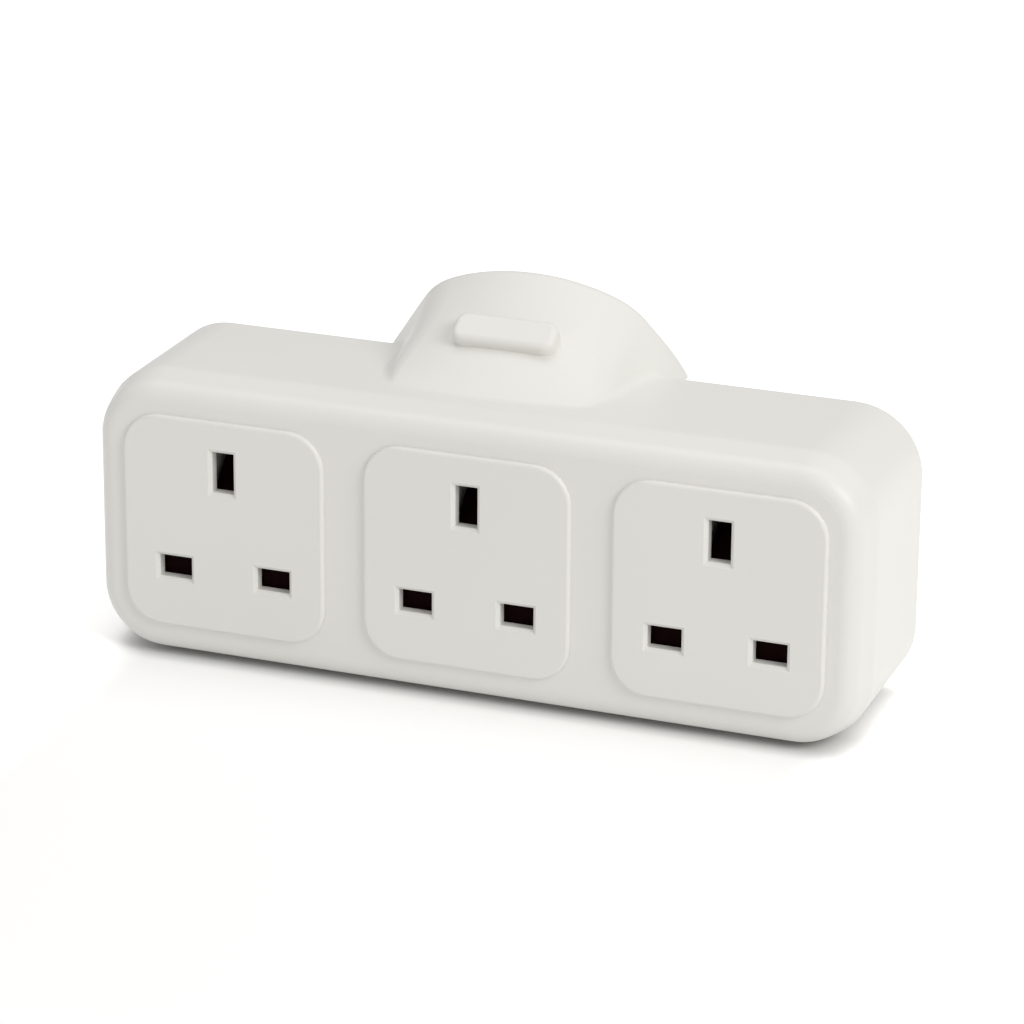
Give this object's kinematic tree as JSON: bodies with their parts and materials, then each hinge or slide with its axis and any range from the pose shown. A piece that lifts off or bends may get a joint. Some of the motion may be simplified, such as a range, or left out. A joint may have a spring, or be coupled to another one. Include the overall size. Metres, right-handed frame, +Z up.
{
  "type": "plug-in three-way socket adaptor",
  "caption": "White plug-in 13 A socket adaptor: a long rounded bar of shuttered sockets with a round plug body rising behind it and a thumb bar on the sloping hump.",
  "frame": {"origin": "centre of the flat underside of the bar", "axes": "+X along the row of sockets to the right seen from the front, +Y towards the wall, +Z up"},
  "size_m": [0.1684, 0.0734, 0.0805],
  "materials": {
    "casing": "fine satin moulding",
    "inner_moulding": "plain moulding",
    "shutter": "smooth moulding",
    "pin_sleeve": "smooth moulding",
    "fuse_insert": "smooth moulding",
    "pin_brass": "machined, drawn along the pin",
    "contact_brass": "rolled strip",
    "fuse_ceramic": "fired ceramic",
    "fuse_metal": "plated",
    "screw_steel": "zinc plated",
    "spring_steel": "drawn wire"
  },
  "bodies": {
    "housing": {"front_casing": "casing", "rear_cover": "casing", "contact_carrier": "inner_moulding", "earth_pin": "pin_brass", "live_pin": "pin_brass", "neutral_pin": "pin_brass", "live_pin_sleeve": "pin_sleeve", "neutral_pin_sleeve": "pin_sleeve", "live_busbar": "contact_brass", "neutral_busbar": "contact_brass", "earth_busbar": "contact_brass", "neutral_strap": "contact_brass", "earth_strap": "contact_brass", "load_strap": "contact_brass", "supply_clip": "contact_brass", "load_clip": "contact_brass", "case_screws": "screw_steel", "shutter_spring_left": "spring_steel", "shutter_spring_middle": "spring_steel", "shutter_spring_right": "spring_steel"},
    "fuse_drawer": {"fuse_carrier": "fuse_insert", "fuse_barrel": "fuse_ceramic", "fuse_caps": "fuse_metal"},
    "shutter_left_body": {"shutter_left": "shutter"},
    "shutter_middle_body": {"shutter_middle": "shutter"},
    "shutter_right_body": {"shutter_right": "shutter"}
  },
  "joints": [
    {"name": "fuse_drawer_slide", "type": "slide", "parent": "housing", "child": "fuse_drawer", "axis": [0, 1, 0], "range_m": [0, 0.01]},
    {"name": "shutter_slide_left", "type": "slide", "parent": "housing", "child": "shutter_left_body", "axis": [0, 0, -1], "range_m": [0, 0.006], "stiffness_N_per_m": 60, "springref_m": -0.002, "deforming": ["shutter_spring_left"]},
    {"name": "shutter_slide_middle", "type": "slide", "parent": "housing", "child": "shutter_middle_body", "axis": [0, 0, -1], "range_m": [0, 0.006], "stiffness_N_per_m": 60, "springref_m": -0.002, "deforming": ["shutter_spring_middle"]},
    {"name": "shutter_slide_right", "type": "slide", "parent": "housing", "child": "shutter_right_body", "axis": [0, 0, -1], "range_m": [0, 0.006], "stiffness_N_per_m": 60, "springref_m": -0.002, "deforming": ["shutter_spring_right"]}
  ]
}
